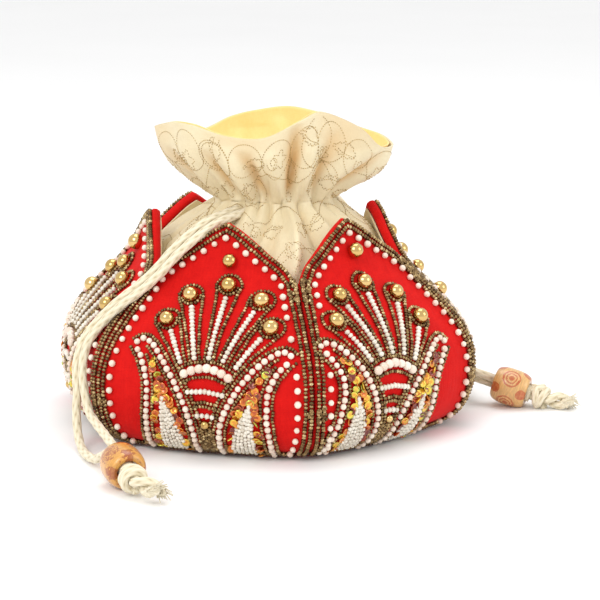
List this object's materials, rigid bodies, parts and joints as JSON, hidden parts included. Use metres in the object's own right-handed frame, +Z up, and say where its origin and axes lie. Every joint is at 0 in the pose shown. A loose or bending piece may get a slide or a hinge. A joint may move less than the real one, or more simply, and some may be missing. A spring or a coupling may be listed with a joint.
{
  "type": "drawstring potli bag",
  "caption": "Small drawstring pouch with padded petal-shaped panels, a gathered cloth collar, a lining and two cotton drawcords ending in wooden beads.",
  "frame": {"origin": "centre of the underside of the base, on the surface the bag stands on", "axes": "+Z up out of the mouth; -Y through the seam between two petals; +X to the right of that seam seen from -Y"},
  "size_m": [0.2311, 0.2266, 0.1397],
  "materials": {
    "red_silk": "matt slubbed silk over padding",
    "cream_brocade": "cream cloth with gold thread scrolls",
    "yellow_lining": "smooth satin-backed cloth",
    "stiffener_board": "plain board",
    "cotton_cord": "braided unbleached cotton",
    "printed_wood": "varnished, printed spots",
    "gold_bead": "polished"
  },
  "bodies": {
    "bag": {"petal_1": "red_silk", "petal_2": "red_silk", "petal_3": "red_silk", "petal_4": "red_silk", "petal_5": "red_silk", "petal_6": "red_silk", "petal_facing_1": "cream_brocade", "petal_facing_2": "cream_brocade", "petal_facing_3": "cream_brocade", "petal_facing_4": "cream_brocade", "petal_facing_5": "cream_brocade", "petal_facing_6": "cream_brocade", "crown_bead_1": "gold_bead", "crown_bead_2": "gold_bead", "crown_bead_3": "gold_bead", "crown_bead_4": "gold_bead", "crown_bead_5": "gold_bead", "crown_bead_6": "gold_bead", "base": "red_silk", "base_board": "stiffener_board", "collar": "cream_brocade", "lining": "yellow_lining", "drawcord_left_channel": "cotton_cord", "drawcord_right_channel": "cotton_cord", "drawcord_left_a": "cotton_cord", "drawcord_left_b": "cotton_cord", "drawcord_right_a": "cotton_cord", "drawcord_right_b": "cotton_cord", "knot_left": "cotton_cord", "knot_right": "cotton_cord"},
    "bead_left": {"wooden_bead_left": "printed_wood"},
    "bead_right": {"wooden_bead_right": "printed_wood"}
  },
  "joints": [
    {"name": "bead_left_slide", "type": "slide", "parent": "bag", "child": "bead_left", "axis": [-0.1501, 0.9854, 0.08], "range_m": [0, 0.0055]},
    {"name": "bead_right_slide", "type": "slide", "parent": "bag", "child": "bead_right", "axis": [-0.8241, 0.5025, 0.2613], "range_m": [0, 0.0055]}
  ]
}
